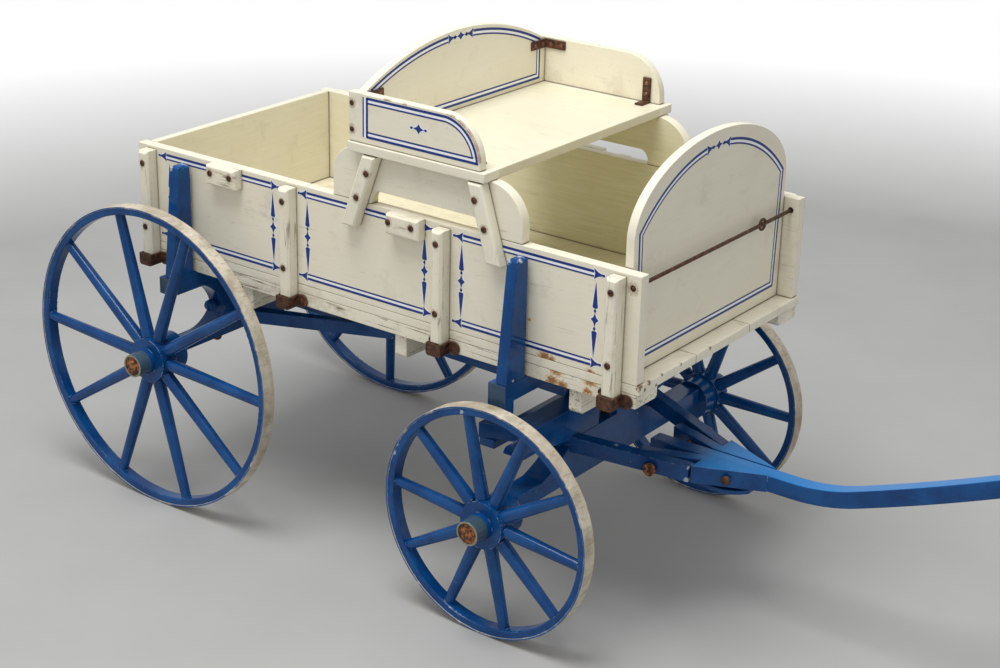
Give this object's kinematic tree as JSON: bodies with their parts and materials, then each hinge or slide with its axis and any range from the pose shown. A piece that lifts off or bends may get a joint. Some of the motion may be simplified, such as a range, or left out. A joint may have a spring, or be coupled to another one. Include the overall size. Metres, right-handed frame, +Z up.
{
  "type": "goat cart",
  "caption": "Small wooden farm wagon with arched dash, lift-off seat, spoked wheels, swivelling front axle and curved tongue",
  "frame": {"origin": "on the floor under the middle of the whole length, wheels and tongue included", "axes": "+X towards the tongue's tip, +Y to the wagon's left, +Z up"},
  "size_m": [1.8962, 0.697, 0.804],
  "materials": {
    "cream_paint": "cream gloss paint on wood, aged",
    "blue_paint": "blue gloss paint on wood",
    "tyre_band": "worn cream paint on steel band",
    "rusty_iron": "brown rusted iron",
    "blue_iron": "blue paint on iron"
  },
  "bodies": {
    "wagon": {"floor_boards": "cream_paint", "side_sills": "cream_paint", "cross_sills": "cream_paint", "side_board_left": "cream_paint", "side_board_right": "cream_paint", "side_cleats": "cream_paint", "stop_blocks": "cream_paint", "stake_pockets": "rusty_iron", "front_rod": "rusty_iron", "rear_axle_nuts": "rusty_iron", "rear_bolster": "blue_paint", "front_bolster": "blue_paint", "rear_stakes": "blue_paint", "front_stakes": "blue_paint", "rear_axle": "blue_paint", "reach": "blue_paint", "rear_hounds": "blue_paint", "rear_axle_rod": "blue_iron", "king_pin": "blue_iron"},
    "front_gear": {"front_axle": "blue_paint", "sand_board": "blue_paint", "front_hounds": "blue_paint", "sway_bar": "blue_paint", "front_axle_nuts": "rusty_iron", "hound_bolt": "rusty_iron", "front_axle_rod": "blue_iron"},
    "tongue": {"tongue_pole": "blue_paint", "tongue_cheeks": "blue_paint", "tongue_strap": "blue_iron", "tongue_eye": "blue_iron"},
    "seat": {"seat_board": "cream_paint", "seat_back": "cream_paint", "seat_arms": "cream_paint", "seat_risers": "cream_paint", "seat_cleats": "cream_paint", "seat_straps": "rusty_iron", "seat_angle_irons": "rusty_iron"},
    "tailgate": {"tailgate": "cream_paint"},
    "dash": {"dash_panel": "cream_paint"},
    "wheel_rear_right": {"tyre_rear_right": "tyre_band", "wheel_rear_right": "blue_paint", "hub_rear_right": "blue_paint"},
    "wheel_rear_left": {"tyre_rear_left": "tyre_band", "wheel_rear_left": "blue_paint", "hub_rear_left": "blue_paint"},
    "wheel_front_right": {"tyre_front_right": "tyre_band", "wheel_front_right": "blue_paint", "hub_front_right": "blue_paint"},
    "wheel_front_left": {"tyre_front_left": "tyre_band", "wheel_front_left": "blue_paint", "hub_front_left": "blue_paint"}
  },
  "joints": [
    {"name": "rear_right_spin", "type": "hinge", "parent": "wagon", "child": "wheel_rear_right", "pos_m": [-0.69414, -0.3015, 0.254], "axis": [0, 1, 0], "continuous": true},
    {"name": "rear_left_spin", "type": "hinge", "parent": "wagon", "child": "wheel_rear_left", "pos_m": [-0.69414, 0.3015, 0.254], "axis": [0, 1, 0], "continuous": true},
    {"name": "front_right_spin", "type": "hinge", "parent": "front_gear", "child": "wheel_front_right", "pos_m": [-0.01614, -0.3015, 0.18], "axis": [0, 1, 0], "continuous": true},
    {"name": "front_left_spin", "type": "hinge", "parent": "front_gear", "child": "wheel_front_left", "pos_m": [-0.01614, 0.3015, 0.18], "axis": [0, 1, 0], "continuous": true},
    {"name": "steering", "type": "hinge", "parent": "wagon", "child": "front_gear", "pos_m": [-0.01614, 0, 0.3], "axis": [0, 0, 1], "range_deg": [-30, 30]},
    {"name": "tongue_pitch", "type": "hinge", "parent": "front_gear", "child": "tongue", "pos_m": [0.11986, 0, 0.224], "axis": [0, -1, 0], "range_deg": [-24, 55]},
    {"name": "seat_lift", "type": "slide", "parent": "wagon", "child": "seat", "axis": [0, 0, 1], "range_m": [0, 0.06]},
    {"name": "tailgate_lift", "type": "slide", "parent": "wagon", "child": "tailgate", "axis": [0, 0, 1], "range_m": [0, 0.17]},
    {"name": "dash_lift", "type": "slide", "parent": "wagon", "child": "dash", "axis": [0, 0, 1], "range_m": [0, 0.17]}
  ]
}
